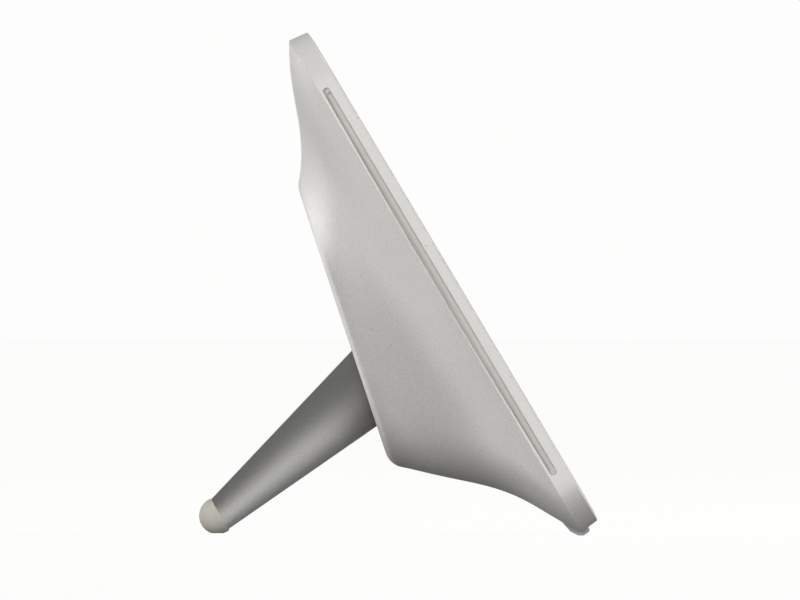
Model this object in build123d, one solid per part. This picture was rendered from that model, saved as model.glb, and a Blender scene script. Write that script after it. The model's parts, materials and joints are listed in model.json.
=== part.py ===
from build123d import *
import math
import os

# Digital photo frame on a removable, swivelling cone leg, in millimetres.
# Every piece is modelled upright in the head's own frame: +X to the right as the picture is looked at,
# +Y back from the picture, +Z up, the origin at the middle of the front face. stand() then leans everything
# back and puts it on its feet, with the origin on the table under the middle of the whole object.

# ---------------------------------------------------------------- driving dimensions
LEAN = 30.75                    # degrees that the picture leans back from upright
WIDTH = 236.0                   # outline of the frame at the parting line
HEIGHT = 190.0
BAND = 7.1                      # depth of the front bezel, so the parting line's Y
DRAFT = 0.8                     # how much each side of the bezel narrows towards the front
CORNER_R = 18.0
WALL = 3.0                      # bezel side wall
FRONT_ROLL = (2.6, 0.45)        # soft roll of the front's outer edge: across the face, and in depth
FRONT_EDGE_R = 0.4

# Rear cover: depth of the flared back at stations from the rim (0) to the flat back (1).
STATIONS = [0.0, 0.12, 0.27, 0.45, 0.65, 0.84, 1.0]
TOP_DEPTHS = [7.1, 10.0, 13.1, 16.1, 19.5, 23.9, 29.4]
BOTTOM_DEPTHS = [7.1, 10.9, 15.1, 21.0, 30.8, 41.4, 50.7]
TOP_INSET = 42.5                # from the frame's edge to the flat back's edge
BOTTOM_INSET = 51.1
SIDE_INSET = 55.0
FLAT_CORNER_R = 34.0
FLAT_EDGE_R = 7.0               # rounding of the flat back's edge
COVER_WALL = 2.0
COVER_RIM = 4.2                 # width of the cover's rim on the bezel

# Front opening and the picture stack, front to back.
OPENING = (198.0, 152.0)
WINDOW = (202.0, 156.0, 1.4)
LIP = 1.6                       # thickness of the bezel in front of the window
PLATE_BACK = 3.7                # back of the bezel's border
MAT_T = 0.7
ACTIVE = (162.4, 121.8)         # picture area of an 8-inch 4:3 display
MODULE = (183.0, 141.0)         # outside of the display module
PANEL_T = 1.2
LIGHT_T = 2.2
TRAY_T = 0.4

# Side slots of the bezel and the strips in them.
SLOT_Z = (-73.8, 75.2)
SLOT_Y = (3.85, 6.1)
SLOT_BOW = 0.7                  # how far the slot's back edge bows towards the parting line
STRIP_SINK = 0.9                # the strip's face below the bezel's side
COVE_R = 1.6                    # hollow along the strip's face

# Chassis, circuit board and fixings.
CHASSIS = (172.0, 132.0)
CHASSIS_Y = (7.8, 8.6)
EARS = [(x, z) for x in (-60.0, 60.0) for z in (-81.5, 81.5)]
BOARD_X = (-44.0, 86.5)
BOARD_Z = (-38.0, 37.0)
BOARD_Y = (11.0, 12.6)
STANDOFFS = [(-38.0, -21.0), (-38.0, 31.0), (80.0, 32.0), (30.0, -32.0)]
POSTS = [(-40.0, -34.0), (40.0, -34.0), (-24.0, 45.0), (24.0, 45.0)]
BOSS_R = 5.0
HEAD_SEAT = 4.5                 # a cover screw's head seat, below the back
BOSS_DEPTH = 7.0                # the front end of its boss, below the back

# Leg: an oblique cone whose sections parallel to the picture are circles.
ROOT_Y = 40.0                   # outer face of the turntable
SWIVEL_Z = -16.7                # the swivel axis runs along Y at this height
ROOT_R = 13.1
TIP_Y = 108.3
TIP_Z = -28.8
TIP_R = 5.8
TUBE_WALL = 1.4
CAP_R = 6.2                     # ball of the rubber foot cap
CAP_CENTRE = (109.3, -28.85)    # Y and Z
CAP_STUB_R = 3.0

# Turntable, its well in the back, and the clip that holds it.
DISC_R = 14.2
DISC_T = 3.5
WELL_R = 14.6
WELL_WALL = 2.0
WELL_FLOOR = 2.5
HUB_R = 9.5
HUB_FRONT = 27.5                # Y of the hub's front end
CLIP_GROOVE_R = 8.4
CLIP_T = 1.4
WASHER_T = 0.5
STACK_GAP = 0.1
RUNNING_FIT = 0.1
SPIGOT_R = 6.45
SPIGOT_LEN = 10.0
SPIGOT_FLAT = 4.6               # X of the flat that keys the leg to the turntable
PEG_AT = 11.8                   # stop peg, from the swivel axis
PEG_R = 0.8
SWIVEL_RANGE = 90.0

# Feet of the head.
PAD_X = 66.0
PAD_LEN = 34.0
PAD_T = 1.55
PAD_FRONT = 4.2                 # Y of the pad's front edge
PAD_TOP = -88.8                 # Z of its upper edge
PAD_TAPER = ((10.16, -93.0), (10.9, -88.8))  # Y and Z where its back end starts to thin, and ends
PAD_NOSE_R = 0.8                # rounding of its front end
TABLE_GAP = 1.25                # the table is this far under the rim's lower back corner

# Connector bay in the right-hand flare.
BAY_X = 88.0                    # the wall with the ports
BAY_Y = 9.9                     # the floor
BAY_Z = (-38.5, 26.5)
BAY_T = 1.2
CARD_Z = 11.5
USB_Z = -12.5
MINI_Z = -24.5
JACK_Z = -33.0
JACK_UP = 3.4                   # jack axis above the board

# Keys on the flat back: (across, up the slope, radius); "across" is to the right seen from behind.
KEYS = {
    "power_button": (-42.0, 30.0, 4.2),
    "up_button": (-42.0, 14.5, 3.4),
    "left_button": (-51.0, 5.5, 3.4),
    "ok_button": (-42.0, 5.5, 3.9),
    "right_button": (-33.0, 5.5, 3.4),
    "down_button": (-42.0, -3.5, 3.4),
    "menu_button": (-48.0, -15.0, 3.4),
    "back_button": (-36.0, -15.0, 3.4),
}
KEY_PROUD = 0.25
KEY_GAP = 0.2
COLLAR_DEPTH = 2.4              # below the back's surface
COLLAR_T = 0.9
STEM_END = 4.35
SWITCH_TOP = 4.9
SWITCH_BODY = (5.7, 7.9)
KEY_BOARD_T = 1.0
KEY_BOARD_SCREWS = [(-30.5, 24.0), (-53.5, 22.0), (-30.0, -20.5)]

# ---------------------------------------------------------------- derived places
half_w = WIDTH / 2
half_h = HEIGHT / 2
lean = math.radians(LEAN)
window_back = LIP + WINDOW[2]
mat_back = window_back + MAT_T
panel_back = mat_back + PANEL_T
light_back = panel_back + LIGHT_T
tray_back = light_back + TRAY_T
board_back = BOARD_Y[1]
port_mouth = BAY_X - BAY_T - 0.1
well_floor = ROOT_Y - DISC_T - 0.3
hub_hole_end = well_floor - WELL_FLOOR
washer_front = hub_hole_end - STACK_GAP - WASHER_T
clip_front = washer_front - STACK_GAP - CLIP_T

flat_top = (TOP_DEPTHS[-1], half_h - TOP_INSET)            # (Y, Z) of the flat back's top edge
flat_bottom = (BOTTOM_DEPTHS[-1], -half_h + BOTTOM_INSET)
flat_slope = (flat_bottom[0] - flat_top[0]) / (flat_top[1] - flat_bottom[1])
flat_tilt = math.atan(flat_slope)
table_drop = BAND * math.sin(lean) + half_h * math.cos(lean) + TABLE_GAP

# The flat back's own plane: X to the right seen from behind, Y up the slope, Z out of the back.
back_plane = Plane(
    origin=(0, (flat_top[0] + flat_bottom[0]) / 2, (flat_top[1] + flat_bottom[1]) / 2),
    x_dir=(-1, 0, 0),
    z_dir=(0, math.cos(flat_tilt), math.sin(flat_tilt)),
)


def back_depth(z):
    """Y of the flat back at height z."""
    return flat_top[0] + (flat_top[1] - z) * flat_slope


# ---------------------------------------------------------------- helpers
def block(x, y, z):
    """A box from three (low, high) ranges."""
    size = [high - low for low, high in (x, y, z)]
    middle = [(high + low) / 2 for low, high in (x, y, z)]
    return Pos(*middle) * Box(*size)


def mirrored(near, far, side):
    """An X range on the side that side names, +1 or -1."""
    return tuple(sorted((side * near, side * far)))


def rod(x, z, radius, front, back):
    """A cylinder along Y."""
    return Pos(x, (front + back) / 2, z) * Rot(90, 0, 0) * Cylinder(radius, back - front)


def cross_rod(x_range, y, z, radius):
    """A cylinder along X."""
    middle = (x_range[0] + x_range[1]) / 2
    return Pos(middle, y, z) * Rot(0, 90, 0) * Cylinder(radius, x_range[1] - x_range[0])


def ring(x, z, inner, outer, front, back):
    return rod(x, z, outer, front, back) - rod(x, z, inner, front - 1, back + 1)


def slab(sketch, front, back):
    """A sketch in X and Z, extruded from Y = front to Y = back."""
    return extrude(Plane.XZ.offset(-back) * sketch, amount=back - front)


def plate(width, height, radius, front, back):
    """A rounded rectangle centred on the picture."""
    return slab(RectangleRounded(width, height, radius), front, back)


def prism(profile, x_range):
    """A profile in Y and Z, extruded over an X range."""
    return extrude(Plane.YZ.offset(x_range[0]) * profile, amount=x_range[1] - x_range[0])


def group(pieces):
    """Separate solids that share one node."""
    return Compound([solid for piece in pieces for solid in piece.solids()])


def on_back(sketch, depth, end):
    """A sketch on the flat back, extruded from depth to end below its surface."""
    return extrude(back_plane.offset(-end) * sketch, amount=end - depth)


def key_disc(key, grow=0.0):
    across, up, radius = KEYS[key]
    return Pos(across, up) * Circle(radius + grow)


def pan_screw(x, z, seat, shank_end, head_r, head_h):
    """A cross-head screw along Y, its head sitting on Y = seat."""
    screw = rod(x, z, head_r, seat, seat + head_h) + rod(x, z, 1.4, shank_end, seat + 0.1)
    for turn in (0, 90):
        blade = Rot(0, turn, 0) * block((-1.5, 1.5), (0, 1.0), (-0.3, 0.3))
        screw -= Pos(x, seat + head_h - 0.9, z) * blade
    return screw


def flat_flex(points, thickness, x_range):
    """A flat flex along (Y, Z) points."""
    line = Polyline(*points)
    return prism(make_face(offset(line, amount=thickness / 2, side=Side.BOTH)), x_range)


# ---------------------------------------------------------------- the flared back as a volume
def flare_section(station, top_y, bottom_y, shrink, sink):
    """One section of the flare: a rounded rectangle on the plane through its top and bottom edges."""
    top = (top_y, half_h - TOP_INSET * station)
    bottom = (bottom_y, -half_h + BOTTOM_INSET * station)
    rise = (top[0] - bottom[0], top[1] - bottom[1])
    height = math.hypot(*rise)
    width = WIDTH - 2 * SIDE_INSET * station
    radius = CORNER_R + (FLAT_CORNER_R - CORNER_R) * station
    plane = Plane(
        origin=(0, (top[0] + bottom[0]) / 2 - sink, (top[1] + bottom[1]) / 2),
        x_dir=(1, 0, 0),
        z_dir=(0, -rise[1] / height, rise[0] / height),
    )
    return plane * RectangleRounded(width - 2 * shrink, height - 2 * shrink, radius - shrink / 2)


def flare_volume(shrink=0.0, sink=0.0):
    """The volume inside the flared skin, or a smaller one inside it."""
    sections = []
    for station, top_y, bottom_y in zip(STATIONS, TOP_DEPTHS, BOTTOM_DEPTHS):
        at_rim = station == 0 and shrink > 0
        inward = COVER_RIM if at_rim else shrink
        forward = 0.4 if at_rim else sink
        sections.append(flare_section(station, top_y, bottom_y, inward, forward))
    return loft(sections)


outer_volume = flare_volume()
inner_volume = flare_volume(shrink=1.0, sink=COVER_WALL / math.cos(flat_tilt))


# ---------------------------------------------------------------- front casing
def bezel_blank():
    """The bezel before it is hollowed."""
    taper = math.degrees(math.atan2(DRAFT, BAND))
    face = RectangleRounded(WIDTH, HEIGHT, CORNER_R)
    blank = extrude(Plane.XZ.offset(-BAND) * face, amount=BAND, taper=taper)
    front = blank.faces().sort_by(Axis.Y)[0]
    blank = chamfer(front.edges(), *FRONT_ROLL, reference=front)
    outer = [edge for edge in blank.edges() if abs(edge.center().Y - FRONT_ROLL[1]) < 0.01]
    return fillet(outer, FRONT_EDGE_R)


def slot_profile(clearance=0.0):
    """The side slot in Y and Z: a straight front edge, round ends and a slightly bowed back edge."""
    front, back = SLOT_Y[0] + clearance, SLOT_Y[1] - clearance
    radius = (back - front) / 2
    middle = (front + back) / 2
    low, high = SLOT_Z[0] + clearance + radius, SLOT_Z[1] - clearance - radius
    outline = [
        Line((front, low), (front, high)),
        ThreePointArc((front, high), (middle, high + radius), (back, high)),
        ThreePointArc((back, high), (back + SLOT_BOW, (low + high) / 2), (back, low)),
        ThreePointArc((back, low), (middle, low - radius), (front, low)),
    ]
    return make_face(outline)


def front_bezel():
    body = bezel_blank()
    body -= plate(*OPENING, 3.0, -1, LIP + 1)
    body -= plate(WINDOW[0] + 0.4, WINDOW[1] + 0.4, 4.0, LIP, PLATE_BACK + 1)
    body -= plate(WIDTH - 2 * WALL, HEIGHT - 2 * WALL, CORNER_R - WALL, PLATE_BACK, BAND + 1)
    rim = body.edges().filter_by_position(Axis.Y, -0.01, 0.01)
    inner_rim = [e for e in rim if abs(e.center().X) < half_w - 5 and abs(e.center().Z) < half_h - 5]
    body = chamfer(inner_rim, 1.0)
    for x, z in EARS:
        body += ring(x, z, 1.45, 2.8, PLATE_BACK - 0.5, CHASSIS_Y[0])
    for side in (-1, 1):
        body -= prism(slot_profile(), mirrored(half_w - WALL - 0.5, half_w + 1, side))
    return body


def side_strip(side):
    """The plain strip in a side slot: a hollowed face, and a flange behind the bezel's wall."""
    inner = half_w - WALL
    face = half_w - STRIP_SINK
    middle_y, middle_z = (SLOT_Y[0] + SLOT_Y[1]) / 2, (SLOT_Z[0] + SLOT_Z[1]) / 2
    strip = prism(slot_profile(0.08), mirrored(inner - 0.2, face, side))
    cove_length = SLOT_Z[1] - SLOT_Z[0] - 4
    strip -= Pos(side * (face + COVE_R - 0.6), middle_y, middle_z) * Cylinder(COVE_R, cove_length)
    flange_y = (PLATE_BACK + 0.1, BAND - 0.1)
    flange_z = (SLOT_Z[0] - 1, SLOT_Z[1] + 1)
    return strip + block(mirrored(inner - 1.2, inner - 0.05, side), flange_y, flange_z)


def front_window():
    return plate(WINDOW[0], WINDOW[1], 3.8, LIP, window_back)


def picture_mat():
    """The mat between the window and the display, with a bevelled opening."""
    sheet = plate(WINDOW[0], WINDOW[1], 3.8, window_back, mat_back)
    sheet -= plate(ACTIVE[0] + 1.2, ACTIVE[1] + 1.2, 0.8, window_back - 1, mat_back + 1)
    front = sheet.edges().filter_by_position(Axis.Y, window_back - 0.01, window_back + 0.01)
    half_x, half_z = WINDOW[0] / 2 - 5, WINDOW[1] / 2 - 5
    bevel = [edge for edge in front if abs(edge.center().X) < half_x and abs(edge.center().Z) < half_z]
    return chamfer(bevel, 0.5)


# ---------------------------------------------------------------- display module
def lcd_panel():
    return plate(MODULE[0] - 4.0, MODULE[1] - 4.0, 0.5, mat_back + 0.3, panel_back)


def lcd_frame():
    """The pressed metal frame over the panel's edges."""
    frame = plate(MODULE[0] + 1.0, MODULE[1] + 1.0, 1.0, mat_back, light_back)
    frame -= plate(MODULE[0], MODULE[1], 0.6, mat_back + 0.3, light_back + 1)
    return frame - plate(ACTIVE[0] + 3.0, ACTIVE[1] + 3.0, 0.6, mat_back - 1, mat_back + 1)


def backlight_unit():
    return plate(MODULE[0] - 1.0, MODULE[1] - 1.0, 0.8, panel_back, light_back)


def lcd_rear_tray():
    """The module's pressed back, with three shallow channels."""
    tray = plate(MODULE[0], MODULE[1], 1.0, light_back, tray_back)
    for z in (-45.0, 0.0, 45.0):
        tray -= block((-70, 70), (tray_back - 0.15, tray_back + 1), (z - 4, z + 4))
    return tray


def lcd_ribbon():
    """The flex from the display's lower edge, round the chassis, to the board."""
    edge = -MODULE[1] / 2 - 0.5
    path = [
        (panel_back, edge - 0.2),
        (panel_back, edge - 1.6),
        (9.6, edge - 1.6),
        (9.6, BOARD_Z[0] - 8.0),
        (board_back + 0.9, BOARD_Z[0] - 4.0),
        (board_back + 0.9, BOARD_Z[0] + 2.0),
    ]
    return flat_flex(path, 0.25, (-14.0, 14.0))


def ribbon_connector():
    y0 = board_back
    low = BOARD_Z[0] + 0.5
    socket = block((-17, 17), (y0, y0 + 2.2), (low, low + 5.5))
    return socket - block((-15, 15), (y0 + 0.6, y0 + 1.2), (low - 1, low + 3.5))


# ---------------------------------------------------------------- chassis and fixings
def chassis_plate():
    body = plate(*CHASSIS, 3.0, *CHASSIS_Y)
    for x, z in EARS:
        reach = sorted((math.copysign(CHASSIS[1] / 2 - 4, z), z + math.copysign(4.0, z)))
        body += block((x - 6, x + 6), CHASSIS_Y, reach)
        body -= rod(x, z, 1.7, CHASSIS_Y[0] - 1, CHASSIS_Y[1] + 1)
    for x in (-66.0, -22.0, 22.0, 66.0):
        body -= slab(Pos(x, 56) * SlotOverall(26, 5), CHASSIS_Y[0] - 1, CHASSIS_Y[1] + 1)
    return body


def chassis_screws():
    seat = CHASSIS_Y[1]
    return group([pan_screw(x, z, seat, seat - 4.2, 2.5, 1.4) for x, z in EARS])


def board_standoffs():
    return group([ring(x, z, 1.45, 2.6, CHASSIS_Y[1], BOARD_Y[0]) for x, z in STANDOFFS])


def board_screws():
    return group([pan_screw(x, z, board_back, CHASSIS_Y[1] + 0.4, 2.5, 1.5) for x, z in STANDOFFS])


def cover_posts():
    """Long hexagonal pillars from the chassis to the cover's screw bosses."""
    posts = []
    for x, z in POSTS:
        end = back_depth(z) - BOSS_DEPTH - 0.05
        pillar = slab(Pos(x, z) * RegularPolygon(3.6, 6), CHASSIS_Y[1], end)
        posts.append(pillar - rod(x, z, 1.45, end - 10, end + 1))
    return group(posts)


def cover_screws():
    screws = []
    for x, z in POSTS:
        seat = back_depth(z) - HEAD_SEAT
        screws.append(pan_screw(x, z, seat, seat - 10.0, 3.0, 2.0))
    return group(screws)


# ---------------------------------------------------------------- electronics
def main_board():
    board = block(BOARD_X, BOARD_Y, BOARD_Z)
    for x, z in STANDOFFS:
        board -= rod(x, z, 1.6, BOARD_Y[0] - 1, BOARD_Y[1] + 1)
    for x, z in POSTS:
        board -= rod(x, z, 5.0, BOARD_Y[0] - 1, BOARD_Y[1] + 1)
    return board


def on_board(x, z, width, height, thick, lift=0.0):
    """A block on the board's back side."""
    front = board_back + lift
    return block((x - width / 2, x + width / 2), (front, front + thick), (z - height / 2, z + height / 2))


def processor():
    return on_board(16, 10, 19, 19, 1.5)


def heat_spreader():
    """A finned aluminium block on the processor."""
    body = on_board(16, 10, 22, 22, 1.6, lift=1.5)
    fins = 7
    pitch = (22 - 1.2) / (fins - 1)
    for step in range(fins):
        body += on_board(16 + (step - (fins - 1) / 2) * pitch, 10, 1.2, 22, 4.0, lift=3.0)
    return body


def memory_chips():
    return group([
        on_board(16, 28.5, 18, 8, 1.1),
        on_board(-12, 24, 12, 18, 1.1),
        on_board(38, 24, 9, 9, 1.1),
    ])


def power_coils():
    coils = []
    for x, z in ((50, 4), (50, -10), (37, -14)):
        coils.append(on_board(x, z, 7.5, 7.5, 0.8) + rod(x, z, 3.2, board_back + 0.7, board_back + 4.0))
    return group(coils)


def capacitors():
    spots = [(33, 11), (40.5, 11), (33, 2), (-4, -14), (-4, -22), (5, -22)]
    return group([rod(x, z, 3.1, board_back, board_back + 6.2) for x, z in spots])


def battery_holder():
    holder = rod(-27, 2, 11.6, board_back, board_back + 3.6)
    holder -= rod(-27, 2, 10.15, board_back + 0.8, board_back + 5)
    return holder - block((-32, -22), (board_back + 0.8, board_back + 5), (-11, -6))


def clock_battery():
    return rod(-27, 2, 10.0, board_back + 0.85, board_back + 4.0)


def port_shell(z, width, height, length, wall):
    """An open metal shell whose mouth faces +X, just inside the bay's wall."""
    y_range = (board_back, board_back + height)
    z_range = (z - width / 2, z + width / 2)
    shell = block((port_mouth - length, port_mouth), y_range, z_range)
    hollow_y = (y_range[0] + wall, y_range[1] - wall)
    hollow_z = (z_range[0] + wall, z_range[1] - wall)
    return shell - block((port_mouth - length + 1.5, port_mouth + 1), hollow_y, hollow_z)


def card_reader():
    body = port_shell(CARD_Z, 27.0, 3.6, 28.0, 0.5)
    contact_x = (port_mouth - 26.6, port_mouth - 20)
    for n in range(-4, 5):
        z = CARD_Z + 2.5 * n
        body += block(contact_x, (board_back + 0.4, board_back + 0.8), (z - 0.5, z + 0.5))
    return body


def usb_host_port():
    tongue_y = (board_back + 3.9, board_back + 5.7)
    tongue = block((port_mouth - 13, port_mouth - 1), tongue_y, (USB_Z - 5.5, USB_Z + 5.5))
    return port_shell(USB_Z, 13.2, 6.6, 14.0, 0.4) + tongue


def usb_mini_port():
    tongue_y = (board_back + 1.7, board_back + 2.6)
    tongue = block((port_mouth - 8, port_mouth - 1), tongue_y, (MINI_Z - 2.2, MINI_Z + 2.2))
    return port_shell(MINI_Z, 7.7, 4.0, 9.0, 0.4) + tongue


def dc_jack():
    y = board_back + JACK_UP
    body = block((port_mouth - 12, port_mouth), (board_back, board_back + 6.8), (JACK_Z - 3.6, JACK_Z + 3.6))
    body -= cross_rod((port_mouth - 9.5, port_mouth + 1), y, JACK_Z, 2.7)
    return body + cross_rod((port_mouth - 10, port_mouth - 1), y, JACK_Z, 0.8)


def bay_box(margin):
    """The connector bay's space, grown by margin on its closed sides."""
    z_range = (BAY_Z[0] - margin, BAY_Z[1] + margin)
    return block((BAY_X - margin, half_w + 6), (BAY_Y - margin, 60), z_range)


def connector_bay():
    """The recessed tray in the right-hand flare that the ports open into."""
    tray = (bay_box(BAY_T) & outer_volume) - bay_box(0)
    through = (BAY_X - BAY_T - 1, BAY_X + 1)
    tray -= block(through, (board_back + 0.4, board_back + 3.2), (CARD_Z - 12.4, CARD_Z + 12.4))
    tray -= block(through, (board_back + 0.3, board_back + 6.3), (USB_Z - 6.3, USB_Z + 6.3))
    tray -= block(through, (board_back + 0.3, board_back + 3.7), (MINI_Z - 3.6, MINI_Z + 3.6))
    return tray - cross_rod(through, board_back + JACK_UP, JACK_Z, 3.0)


# ---------------------------------------------------------------- rear cover
def vent_slots():
    """Two columns of slots in the flat back, opposite the keys."""
    spots = [(across, 33.0 - 4.0 * row) for across in (30.0, 46.0) for row in range(8)]
    return [on_back(Pos(across, up) * SlotOverall(13, 1.7), -1, COVER_WALL + 3) for across, up in spots]


def label_spot(clearance):
    return Pos(41.5, -16) * RectangleRounded(34 - clearance, 22 - clearance, 1.5)


def stop_peg():
    """The peg on the well's floor that ends the swivel."""
    reach = PEG_AT * math.sqrt(0.5)
    return rod(reach, SWIVEL_Z + reach, PEG_R, well_floor - 0.5, well_floor + 1.2)


def rear_cover():
    back_face = outer_volume.faces().sort_by(lambda face: face.center().dot(back_plane.z_dir))[-1]
    shell = fillet(back_face.edges(), FLAT_EDGE_R) - inner_volume
    shell += rod(0, SWIVEL_Z, WELL_R + WELL_WALL, hub_hole_end, 60) & outer_volume
    for x, z in POSTS:
        shell += rod(x, z, BOSS_R, back_depth(z) - BOSS_DEPTH, back_depth(z) - 1)
    for x, z in POSTS:
        shell -= rod(x, z, 3.3, back_depth(z) - HEAD_SEAT, back_depth(z) + 5)
        shell -= rod(x, z, 1.7, back_depth(z) - BOSS_DEPTH - 1, back_depth(z))
    shell -= rod(0, SWIVEL_Z, WELL_R, well_floor, 70)
    shell -= rod(0, SWIVEL_Z, HUB_R + RUNNING_FIT, hub_hole_end - 1, well_floor + 1)
    shell += stop_peg()
    shell -= bay_box(BAY_T)
    for key in KEYS:
        shell -= on_back(key_disc(key, KEY_GAP), -1, COVER_WALL + 1)
    for across, up in KEY_BOARD_SCREWS:
        shell += on_back(Pos(across, up) * (Circle(2.2) - Circle(0.95)), COVER_WALL - 0.3, SWITCH_BODY[1])
    shell -= vent_slots()
    return shell - on_back(label_spot(0), -1, 0.3)


def rating_label():
    """A blank label in its shallow recess."""
    return on_back(label_spot(0.6), 0.08, 0.3)


def front_foot(side):
    """A rubber pad that wraps the rim's lower back corner, flat where it stands on the table."""
    low = -half_h
    skin = make_face(Polyline(
        (0, low + DRAFT), (BAND, low), (BOTTOM_DEPTHS[1], low + BOTTOM_INSET * STATIONS[1]),
        (BOTTOM_DEPTHS[2], low + BOTTOM_INSET * STATIONS[2]), (0, low + BOTTOM_INSET * STATIONS[2]),
        close=True,
    ))
    limit_size = Rectangle(20 - PAD_FRONT, PAD_TOP - low + 10)
    limits = Pos((PAD_FRONT + 20) / 2, (low + PAD_TOP - 10) / 2) * limit_size
    profile = offset(skin, amount=PAD_T) & limits
    start, end = PAD_TAPER
    profile -= make_face(Polyline(start, end, (30, end[1]), (30, start[1]), close=True))
    nose = profile.vertices().sort_by(Axis.X)[:2].sort_by(Axis.Y)[0]
    profile = fillet(nose, PAD_NOSE_R)
    x_range = mirrored(PAD_X - PAD_LEN / 2, PAD_X + PAD_LEN / 2, side)
    pad = prism(profile, x_range)
    return pad - bezel_blank() - outer_volume - below_table()


def below_table():
    """Everything under the table's surface."""
    return Rot(LEAN, 0, 0) * Pos(0, 0, -table_drop - 20) * Box(300, 400, 40)


# ---------------------------------------------------------------- keys
def key_cap(key):
    """A key: its cap through the back, a collar that keeps it in, and a stem over its switch."""
    across, up, radius = KEYS[key]
    cap = on_back(key_disc(key), -KEY_PROUD, COLLAR_DEPTH + 0.1)
    top = cap.faces().sort_by(lambda face: face.center().dot(back_plane.z_dir))[-1]
    cap = fillet(top.edges(), 0.2)
    cap += on_back(key_disc(key, 0.7), COLLAR_DEPTH, COLLAR_DEPTH + COLLAR_T)
    return cap + on_back(Pos(across, up) * Circle(1.2), COLLAR_DEPTH + 0.5, STEM_END)


def tact_switches():
    switches = []
    for across, up, radius in KEYS.values():
        plunger = on_back(Pos(across, up) * Circle(1.1), SWITCH_TOP, SWITCH_BODY[0] + 0.1)
        switches.append(plunger + on_back(Pos(across, up) * Rectangle(5.2, 5.2), *SWITCH_BODY))
    return group(switches)


def button_board():
    front, back = SWITCH_BODY[1], SWITCH_BODY[1] + KEY_BOARD_T
    board = on_back(Pos(-42.0, 6.5) * RectangleRounded(29, 61, 2), front, back)
    for across, up in KEY_BOARD_SCREWS:
        board -= on_back(Pos(across, up) * Circle(1.15), front - 1, back + 1)
    return board


def button_screws():
    """Small screws from the front, through the button board into the cover's bosses."""
    seat = SWITCH_BODY[1] + KEY_BOARD_T
    screws = []
    for across, up in KEY_BOARD_SCREWS:
        spot = Pos(across, up)
        head = on_back(spot * Circle(1.9), seat, seat + 1.0)
        screws.append(head + on_back(spot * Circle(0.9), seat - 5.0, seat + 0.1))
    return group(screws)


def button_ribbon():
    """The flex from the button board to the circuit board."""
    start = back_plane.from_local_coords(Vector(-42, -19, -SWITCH_BODY[1] - KEY_BOARD_T - 0.2))
    path = [
        (start.Y, start.Z),
        (start.Y - 5.0, start.Z - 3.0),
        (board_back + 6.0, -26.0),
        (board_back + 0.2, -24.0),
        (board_back + 0.2, -20.0),
    ]
    return flat_flex(path, 0.25, (46.0, 54.0))


# ---------------------------------------------------------------- turntable
def spigot_hole():
    hole = rod(0, SWIVEL_Z, SPIGOT_R + RUNNING_FIT, ROOT_Y - SPIGOT_LEN - 0.5, ROOT_Y + 1)
    return hole - block((SPIGOT_FLAT, 8), (ROOT_Y - SPIGOT_LEN - 1, ROOT_Y + 2), (SWIVEL_Z - 8, SWIVEL_Z + 8))


def turntable():
    """The disc that carries the leg, on a hub through the well's floor."""
    disc_front = ROOT_Y - DISC_T
    body = rod(0, SWIVEL_Z, DISC_R, disc_front, ROOT_Y) + rod(0, SWIVEL_Z, HUB_R, HUB_FRONT, ROOT_Y - 1)
    body -= spigot_hole()
    body -= ring(0, SWIVEL_Z, CLIP_GROOVE_R, HUB_R + 1, clip_front - 0.1, clip_front + CLIP_T)
    sweep_arc = SlotArc(CenterArc((0, 0), PEG_AT, 45, SWIVEL_RANGE), 2 * PEG_R + 0.6)
    return body - slab(Pos(0, SWIVEL_Z) * sweep_arc, disc_front - 1, disc_front + 1.4)


def swivel_clip():
    """The split clip in the hub's groove."""
    clip = ring(0, SWIVEL_Z, CLIP_GROOVE_R + 0.05, 13.0, clip_front, clip_front + CLIP_T - 0.05)
    return clip - block((-1.5, 1.5), (clip_front - 1, clip_front + CLIP_T + 1), (SWIVEL_Z, SWIVEL_Z + 14))


def swivel_washer():
    """The friction washer between the clip and the well's floor."""
    return ring(0, SWIVEL_Z, HUB_R + RUNNING_FIT, 13.5, washer_front, washer_front + WASHER_T)


# ---------------------------------------------------------------- leg
def leg_circle(y, shrink):
    """A section of the oblique cone at depth y."""
    share = (y - ROOT_Y) / (TIP_Y - ROOT_Y)
    centre = SWIVEL_Z + (TIP_Z - SWIVEL_Z) * share
    radius = ROOT_R + (TIP_R - ROOT_R) * share
    return Plane.XZ.offset(-y) * Pos(0, centre) * Circle(radius - shrink)


def leg_cone(front, back, shrink):
    return loft([leg_circle(front, shrink), leg_circle(back, shrink)])


def leg_tube():
    return leg_cone(ROOT_Y + 0.1, TIP_Y, 0) - leg_cone(ROOT_Y, TIP_Y + 1, TUBE_WALL)


def leg_plug():
    """The plug in the tube's root, with the keyed spigot."""
    body = leg_cone(ROOT_Y + 0.1, ROOT_Y + 7, TUBE_WALL + 0.02)
    spigot = rod(0, SWIVEL_Z, SPIGOT_R, ROOT_Y - SPIGOT_LEN, ROOT_Y + 1)
    spigot -= block((SPIGOT_FLAT - 0.1, 8), (ROOT_Y - SPIGOT_LEN - 1, ROOT_Y), (SWIVEL_Z - 8, SWIVEL_Z + 8))
    body += spigot
    body -= ring(0, SWIVEL_Z, SPIGOT_R - 0.9, SPIGOT_R + 1, ROOT_Y - 7.5, ROOT_Y - 6.3)
    return body - rod(0, SWIVEL_Z, 3.2, ROOT_Y - SPIGOT_LEN - 1, ROOT_Y + 4)


def snap_ring():
    """The split spring wire that holds the spigot in its socket."""
    spring = ring(0, SWIVEL_Z, SPIGOT_R - 0.85, SPIGOT_R, ROOT_Y - 7.45, ROOT_Y - 6.35)
    return spring - block((2.0, 8), (ROOT_Y - 8, ROOT_Y - 6), (SWIVEL_Z - 8, SWIVEL_Z + 8))


def cap_insert():
    """The plug in the tube's tip and the stub that the rubber cap grips."""
    body = leg_cone(TIP_Y - 10, TIP_Y - 0.1, TUBE_WALL + 0.02)
    return body + rod(0, TIP_Z, CAP_STUB_R, TIP_Y - 1, CAP_CENTRE[0] + 2)


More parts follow.
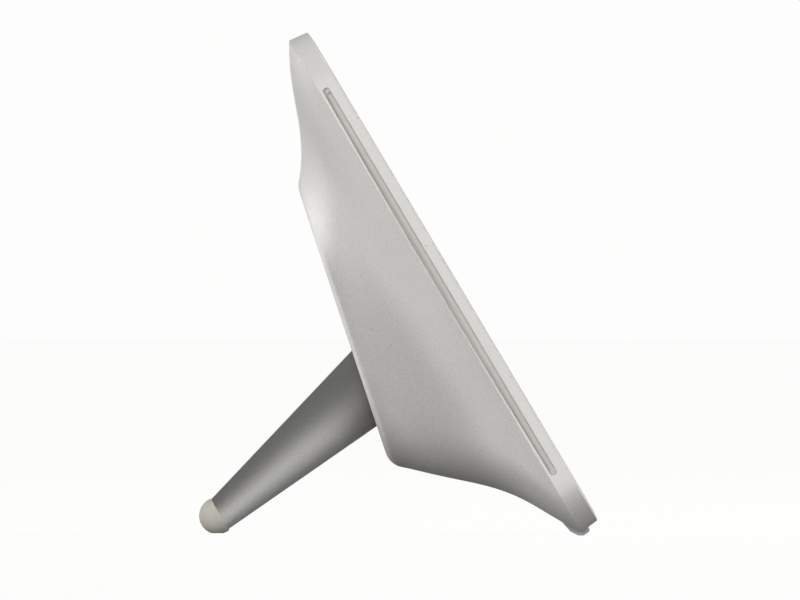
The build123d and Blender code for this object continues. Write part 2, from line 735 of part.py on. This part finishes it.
def foot_cap():
    ball = Pos(0, *CAP_CENTRE) * Sphere(CAP_R)
    ball -= block((-10, 10), (TIP_Y - 20, TIP_Y), (TIP_Z - 10, TIP_Z + 10))
    return ball - rod(0, TIP_Z, CAP_STUB_R, TIP_Y - 1, CAP_CENTRE[0] + 2) - below_table()


# ---------------------------------------------------------------- the assembly
def upright_parts():
    """Every node by name, in the head's upright frame."""
    parts = {
        "front_bezel": front_bezel(),
        "side_strip_left": side_strip(-1),
        "side_strip_right": side_strip(1),
        "front_window": front_window(),
        "picture_mat": picture_mat(),
        "lcd_panel": lcd_panel(),
        "lcd_frame": lcd_frame(),
        "backlight_unit": backlight_unit(),
        "lcd_rear_tray": lcd_rear_tray(),
        "lcd_ribbon": lcd_ribbon(),
        "ribbon_connector": ribbon_connector(),
        "chassis_plate": chassis_plate(),
        "chassis_screws": chassis_screws(),
        "board_standoffs": board_standoffs(),
        "main_board": main_board(),
        "board_screws": board_screws(),
        "processor": processor(),
        "heat_spreader": heat_spreader(),
        "memory_chips": memory_chips(),
        "power_coils": power_coils(),
        "capacitors": capacitors(),
        "battery_holder": battery_holder(),
        "clock_battery": clock_battery(),
        "card_reader": card_reader(),
        "usb_host_port": usb_host_port(),
        "usb_mini_port": usb_mini_port(),
        "dc_jack": dc_jack(),
        "connector_bay": connector_bay(),
        "rear_cover": rear_cover(),
        "cover_posts": cover_posts(),
        "cover_screws": cover_screws(),
        "rating_label": rating_label(),
        "front_foot_left": front_foot(-1),
        "front_foot_right": front_foot(1),
        "tact_switches": tact_switches(),
        "button_board": button_board(),
        "button_screws": button_screws(),
        "button_ribbon": button_ribbon(),
        "turntable": turntable(),
        "swivel_clip": swivel_clip(),
        "swivel_washer": swivel_washer(),
        "leg_tube": leg_tube(),
        "leg_plug": leg_plug(),
        "snap_ring": snap_ring(),
        "cap_insert": cap_insert(),
        "foot_cap": foot_cap(),
    }
    for key in KEYS:
        parts[key] = key_cap(key)
    return parts


def stand(parts):
    """Leans every piece back and stands it on the table, centred front to back."""
    leaned = {name: Rot(-LEAN, 0, 0) * piece for name, piece in parts.items()}
    front = min(piece.bounding_box().min.Y for piece in leaned.values())
    back = max(piece.bounding_box().max.Y for piece in leaned.values())
    shift = Pos(0, -(front + back) / 2, table_drop)
    return {name: shift * piece for name, piece in leaned.items()}


os.makedirs("parts", exist_ok=True)
for name, piece in stand(upright_parts()).items():
    export_step(piece, f"parts/{name}.step")
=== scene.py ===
import json
import math

import bpy
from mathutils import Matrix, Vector


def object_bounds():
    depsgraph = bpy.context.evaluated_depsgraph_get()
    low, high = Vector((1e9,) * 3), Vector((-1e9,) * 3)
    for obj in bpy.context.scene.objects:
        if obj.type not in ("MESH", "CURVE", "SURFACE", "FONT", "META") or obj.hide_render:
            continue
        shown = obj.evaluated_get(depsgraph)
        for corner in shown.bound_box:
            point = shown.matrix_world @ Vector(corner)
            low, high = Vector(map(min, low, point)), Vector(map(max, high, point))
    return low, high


# Lengths are in metres, as in the CAD frame.
FLOOR_RADIUS = 40.0
CAMERA_DISTANCE = 8.0
VIEW_WIDTH = 0.26667
VIEW_CENTRE_Y = -0.00103
VIEW_CENTRE_Z = 0.0784
SENSOR_WIDTH_MM = 36.0
MEASURED_PLANE_SHARE = 0.6  # how far out from the middle the view width is true

# Grey of the world's light from straight down (0) to straight up (1).
WORLD_GREYS = [
    (0.0, 0.07),
    (0.28, 0.07),
    (0.42, 0.20),
    (0.52, 0.42),
    (0.62, 0.34),
    (0.78, 0.08),
    (1.0, 0.08),
]

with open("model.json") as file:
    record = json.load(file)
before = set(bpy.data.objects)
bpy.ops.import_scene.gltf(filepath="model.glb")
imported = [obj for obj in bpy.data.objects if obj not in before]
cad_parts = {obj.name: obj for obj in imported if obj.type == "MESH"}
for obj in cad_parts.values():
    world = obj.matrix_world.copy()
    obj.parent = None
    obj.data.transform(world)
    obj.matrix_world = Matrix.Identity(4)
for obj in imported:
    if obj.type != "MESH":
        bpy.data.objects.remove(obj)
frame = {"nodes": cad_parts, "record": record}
cad_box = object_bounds()

# ---------------------------------------------------------------- material helpers


def new_material(name):
    """A material, its node tree, its shader and the object-space coordinates."""
    mat = bpy.data.materials.new(name)
    mat.use_nodes = True
    tree = mat.node_tree
    shader = tree.nodes["Principled BSDF"]
    coord = tree.nodes.new("ShaderNodeTexCoord")
    return mat, tree, shader, coord.outputs["Object"]


def noise(tree, vector, scale, detail=3.0, rough=0.55, stretch=None):
    """A noise in object space; scale counts features per metre."""
    if stretch:
        mapping = tree.nodes.new("ShaderNodeMapping")
        mapping.inputs["Scale"].default_value = stretch
        tree.links.new(vector, mapping.inputs["Vector"])
        vector = mapping.outputs["Vector"]
    node = tree.nodes.new("ShaderNodeTexNoise")
    node.inputs["Scale"].default_value = scale
    node.inputs["Detail"].default_value = detail
    node.inputs["Roughness"].default_value = rough
    tree.links.new(vector, node.inputs["Vector"])
    return node.outputs["Fac"]


def ramp(tree, value, stops):
    """A colour ramp from (position, colour) stops."""
    node = tree.nodes.new("ShaderNodeValToRGB")
    elements = node.color_ramp.elements
    while len(elements) < len(stops):
        elements.new(0.5)
    for element, (position, colour) in zip(elements, stops):
        element.position = position
        element.color = (*colour, 1.0)
    tree.links.new(value, node.inputs["Fac"])
    return node.outputs["Color"]


def spread(tree, value, low, high):
    """Maps a noise, which keeps mostly between 0.3 and 0.7, onto the range low to high."""
    node = tree.nodes.new("ShaderNodeMapRange")
    node.inputs["From Min"].default_value = 0.3
    node.inputs["From Max"].default_value = 0.7
    node.inputs["To Min"].default_value = low
    node.inputs["To Max"].default_value = high
    tree.links.new(value, node.inputs["Value"])
    return node.outputs["Result"]


def bump(tree, shader, height, distance):
    """Raises the surface by the given height pattern; distance is in metres."""
    node = tree.nodes.new("ShaderNodeBump")
    node.inputs["Strength"].default_value = 1.0
    node.inputs["Distance"].default_value = distance
    tree.links.new(height, node.inputs["Height"])
    tree.links.new(node.outputs["Normal"], shader.inputs["Normal"])


def shaded(colour, factor):
    """The colour made darker or lighter by a factor."""
    return tuple(c * factor for c in colour)


def moulded(name, colour, rough, grain, variation=0.06, depth=0.00002, **extra):
    """Moulded plastic, rubber or card: a soft tone drift, a fine grain and an uneven gloss."""
    mat, tree, shader, at = new_material(name)
    drift = noise(tree, at, 35.0, 2.0)
    dark, light = shaded(colour, 1.0 - variation), shaded(colour, 1.0 + variation)
    tree.links.new(ramp(tree, drift, [(0.3, dark), (0.7, light)]), shader.inputs["Base Color"])
    fine = noise(tree, at, grain, 3.0, 0.6)
    tree.links.new(spread(tree, fine, rough - 0.06, rough + 0.06), shader.inputs["Roughness"])
    bump(tree, shader, fine, depth)
    for socket, value in extra.items():
        shader.inputs[socket.replace("_", " ")].default_value = value
    return mat


def pearl(name, colour, rough, metallic, fleck):
    """Satin pearl paint: fine bright and dark fleck in a smooth coat, and a few tiny specks of dust."""
    mat, tree, shader, at = new_material(name)
    flecks = noise(tree, at, 2600.0, 1.0, 0.4)
    stops = [(0.28, shaded(colour, 1.0 - fleck)), (0.5, colour), (0.74, shaded(colour, 1.0 + fleck))]
    base = ramp(tree, flecks, stops)
    cells = tree.nodes.new("ShaderNodeTexVoronoi")
    cells.inputs["Scale"].default_value = 210.0
    tree.links.new(at, cells.inputs["Vector"])
    speck_stops = [(0.045, (0.62, 0.62, 0.62)), (0.075, (1.0, 1.0, 1.0))]
    specks = ramp(tree, cells.outputs["Distance"], speck_stops)
    mix = tree.nodes.new("ShaderNodeMix")
    mix.data_type = "RGBA"
    mix.blend_type = "MULTIPLY"
    mix.inputs[0].default_value = 1.0
    tree.links.new(base, mix.inputs[6])
    tree.links.new(specks, mix.inputs[7])
    tree.links.new(mix.outputs[2], shader.inputs["Base Color"])
    slow = noise(tree, at, 18.0, 2.0)
    tree.links.new(spread(tree, slow, rough - 0.03, rough + 0.03), shader.inputs["Roughness"])
    bump(tree, shader, noise(tree, at, 1500.0, 2.0), 0.000006)
    shader.inputs["Metallic"].default_value = metallic
    shader.inputs["Coat Weight"].default_value = 0.15
    shader.inputs["Coat Roughness"].default_value = 0.25
    return mat


def satin_metal(name, colour, rough, grain, stretch):
    """Bare metal with a fine directional grain."""
    mat, tree, shader, at = new_material(name)
    lines = noise(tree, at, grain, 4.0, 0.65, stretch)
    stops = [(0.3, shaded(colour, 0.84)), (0.7, shaded(colour, 1.12))]
    tree.links.new(ramp(tree, lines, stops), shader.inputs["Base Color"])
    tree.links.new(spread(tree, lines, rough - 0.06, rough + 0.06), shader.inputs["Roughness"])
    bump(tree, shader, lines, 0.00002)
    shader.inputs["Metallic"].default_value = 1.0
    return mat


def clear_window(name):
    """Clear plastic with a faint uneven gloss."""
    mat, tree, shader, at = new_material(name)
    smear = noise(tree, at, 25.0, 3.0)
    tree.links.new(spread(tree, smear, 0.01, 0.05), shader.inputs["Roughness"])
    stops = [(0.3, (0.95, 0.97, 0.96)), (0.7, (0.99, 1.0, 0.99))]
    tree.links.new(ramp(tree, smear, stops), shader.inputs["Base Color"])
    shader.inputs["Transmission Weight"].default_value = 1.0
    shader.inputs["IOR"].default_value = 1.49
    return mat


def solder_mask(name):
    """A circuit board: green mask with a faint pattern of tracks under it."""
    mat, tree, shader, at = new_material(name)
    tracks = tree.nodes.new("ShaderNodeTexVoronoi")
    tracks.distance = "MANHATTAN"
    tracks.inputs["Scale"].default_value = 420.0
    tree.links.new(at, tracks.inputs["Vector"])
    stops = [(0.25, (0.012, 0.075, 0.030)), (0.45, (0.020, 0.120, 0.050))]
    tree.links.new(ramp(tree, tracks.outputs["Distance"], stops), shader.inputs["Base Color"])
    tree.links.new(spread(tree, noise(tree, at, 300.0), 0.28, 0.42), shader.inputs["Roughness"])
    bump(tree, shader, tracks.outputs["Distance"], 0.00003)
    return mat


MATERIALS = {
    "bezel_plastic": pearl("bezel_pearl", (0.71, 0.69, 0.665), 0.42, 0.10, 0.05),
    "cover_plastic": pearl("cover_pearl", (0.72, 0.70, 0.675), 0.44, 0.30, 0.13),
    "strip_plastic": moulded("strip_plastic", (0.58, 0.57, 0.54), 0.55, 1800.0),
    "window": clear_window("window_clear"),
    "mat_card": moulded("mat_card", (0.78, 0.77, 0.73), 0.85, 1400.0, depth=0.00004),
    "display_glass": moulded("display_glass", (0.012, 0.012, 0.015), 0.12, 60.0, depth=0.0),
    "plain_steel": satin_metal("plain_steel", (0.60, 0.60, 0.59), 0.35, 900.0, (0.15, 1.0, 1.0)),
    "white_plastic": moulded("white_plastic", (0.80, 0.80, 0.77), 0.50, 1500.0),
    "flex": moulded("flex", (0.55, 0.27, 0.07), 0.35, 700.0, variation=0.12),
    "dark_plastic": moulded("dark_plastic", (0.025, 0.025, 0.027), 0.50, 1600.0, variation=0.15),
    "screw_steel": satin_metal("screw_steel", (0.68, 0.68, 0.68), 0.22, 1500.0, (1.0, 1.0, 1.0)),
    "plated_brass": satin_metal("plated_brass", (0.70, 0.62, 0.42), 0.30, 1200.0, (1.0, 0.3, 1.0)),
    "circuit_board": solder_mask("circuit_board"),
    "bare_aluminium": satin_metal("bare_aluminium", (0.72, 0.72, 0.73), 0.40, 1000.0, (1.0, 1.0, 0.1)),
    "can_aluminium": satin_metal("can_aluminium", (0.70, 0.70, 0.72), 0.28, 1000.0, (1.0, 0.1, 1.0)),
    "bay_plastic": moulded("bay_plastic", (0.40, 0.39, 0.37), 0.55, 1800.0),
    "label": moulded("label", (0.66, 0.66, 0.65), 0.45, 900.0, depth=0.00001),
    "foot_rubber": moulded("foot_rubber", (0.62, 0.62, 0.61), 0.42, 1200.0, variation=0.04,
                           Transmission_Weight=0.25, Subsurface_Weight=0.3, Subsurface_Scale=0.002),
    "key_plastic": moulded("key_plastic", (0.60, 0.59, 0.57), 0.36, 1600.0),
    "leg_metal": satin_metal("leg_metal", (0.57, 0.565, 0.55), 0.68, 2600.0, (1.0, 0.5, 1.0)),
    "cap_rubber": moulded("cap_rubber", (0.58, 0.56, 0.50), 0.80, 2200.0, variation=0.05, depth=0.00005),
}

slot_of = {sub["node"]: sub["material_slot"] for sub in frame["record"]["subparts"]}
for name, node in frame["nodes"].items():
    mesh = node.data
    mesh.materials.clear()
    mesh.materials.append(MATERIALS[slot_of[name]])

# ---------------------------------------------------------------- floor and backdrop


def plain_surface(name, base, glow):
    """A matt surface that glows, so that it stays pale wherever the lamps are."""
    mat, tree, shader, at = new_material(name)
    shade = noise(tree, at, 1.5, 2.0)
    stops = [(0.3, shaded(base, 0.985)), (0.7, base)]
    tree.links.new(ramp(tree, shade, stops), shader.inputs["Base Color"])
    shader.inputs["Roughness"].default_value = 1.0
    shader.inputs["Specular IOR Level"].default_value = 0.0
    shader.inputs["Emission Color"].default_value = (1.0, 0.998, 0.992, 1.0)
    shader.inputs["Emission Strength"].default_value = glow
    return mat


def pale_floor():
    """A wide pale floor that throws no light back on the object."""
    bpy.ops.mesh.primitive_circle_add(vertices=96, radius=FLOOR_RADIUS, fill_type="NGON")
    floor = bpy.context.object
    floor.name = "stage_floor"
    floor.data.materials.append(plain_surface("floor_pale", (0.14, 0.14, 0.138), 0.955))
    floor.visible_diffuse = False
    floor.visible_glossy = False
    floor.visible_transmission = False
    floor.visible_shadow = False


# ---------------------------------------------------------------- light and camera


def lit_group(name, nodes):
    """A collection that a lamp is limited to."""
    group = bpy.data.collections.new(name)
    for node in nodes:
        group.objects.link(frame["nodes"][node])
    return group


def softbox(name, place, target, size, power, only=None):
    """A rectangular lamp aimed at target, in metres and watts; only limits it to a group."""
    data = bpy.data.lights.new(name, "AREA")
    data.shape = "RECTANGLE"
    data.size, data.size_y = size
    data.energy = power
    lamp = bpy.data.objects.new(name, data)
    bpy.context.collection.objects.link(lamp)
    lamp.location = place
    lamp.rotation_euler = (Vector(target) - Vector(place)).to_track_quat("-Z", "Y").to_euler()
    lamp.visible_camera = False
    if only:
        lamp.light_linking.receiver_collection = only


def studio_world():
    """Dim light all round, brightest at the horizon; the camera sees a pale backdrop instead."""
    world = bpy.data.worlds.new("studio")
    bpy.context.scene.world = world
    world.use_nodes = True
    tree = world.node_tree
    background = tree.nodes["Background"]
    coord = tree.nodes.new("ShaderNodeTexCoord")
    split = tree.nodes.new("ShaderNodeSeparateXYZ")
    tree.links.new(coord.outputs["Generated"], split.inputs["Vector"])
    lift = tree.nodes.new("ShaderNodeMapRange")
    lift.inputs["From Min"].default_value = -1.0
    lift.inputs["From Max"].default_value = 1.0
    tree.links.new(split.outputs["Z"], lift.inputs["Value"])
    stops = [(place, (value, value, value * 0.99)) for place, value in WORLD_GREYS]
    tree.links.new(ramp(tree, lift.outputs["Result"], stops), background.inputs["Color"])
    pale = tree.nodes.new("ShaderNodeBackground")
    pale.inputs["Color"].default_value = (0.985, 0.985, 0.98, 1.0)
    seen = tree.nodes.new("ShaderNodeLightPath")
    choose = tree.nodes.new("ShaderNodeMixShader")
    tree.links.new(seen.outputs["Is Camera Ray"], choose.inputs["Fac"])
    tree.links.new(background.outputs["Background"], choose.inputs[1])
    tree.links.new(pale.outputs["Background"], choose.inputs[2])
    tree.links.new(choose.outputs["Shader"], tree.nodes["World Output"].inputs["Surface"])


def studio_lamps():
    """Large lamps round the object: some light only the leg, some only the rest."""
    middle = (0.0, 0.0, 0.08)
    leg_middle = (0.0, 0.04, 0.03)
    leg = lit_group("leg_light", ["leg_tube"])
    casing = lit_group("casing_light", [name for name in frame["nodes"] if name != "leg_tube"])
    softbox("camera_side", (-2.6, -0.5, 0.10), middle, (2.2, 1.8), 26.5, casing)
    softbox("leg_side", (-0.74, -0.52, -0.02), leg_middle, (1.30, 1.30), 13.0, leg)
    softbox("leg_top", (0.35, 0.75, 1.2), leg_middle, (0.5, 0.5), 0.8, leg)
    softbox("rear_side", (-1.4, 1.2, 0.85), middle, (0.7, 0.7), 16.5, casing)
    softbox("rear_low", (1.25, 1.55, -0.75), middle, (1.0, 1.0), 4.2, casing)
    softbox("rear_up", (1.50, 1.50, 0.25), middle, (1.1, 1.1), 8.0, casing)
    softbox("rear_fill", (0.35, 2.20, 0.90), middle, (1.5, 1.0), 6.0, casing)
    softbox("overhead", (0.1, -1.2, 2.2), middle, (1.4, 1.2), 24.0, casing)
    softbox("front", (0.6, -2.4, 1.0), middle, (1.6, 1.2), 26.0)


def side_camera():
    """A level side view with a long lens."""
    measured_plane = MEASURED_PLANE_SHARE * cad_box[0][0]
    data = bpy.data.cameras.new("side_camera")
    data.sensor_width = SENSOR_WIDTH_MM
    data.lens = data.sensor_width * CAMERA_DISTANCE / VIEW_WIDTH
    data.clip_end = 5.0 * FLOOR_RADIUS
    camera = bpy.data.objects.new("side_camera", data)
    bpy.context.collection.objects.link(camera)
    camera.location = (measured_plane - CAMERA_DISTANCE, VIEW_CENTRE_Y, VIEW_CENTRE_Z)
    camera.rotation_euler = (math.radians(90), 0.0, math.radians(-90))
    bpy.context.scene.camera = camera


pale_floor()
studio_world()
studio_lamps()
side_camera()
bpy.context.scene.view_settings.view_transform = "Standard"
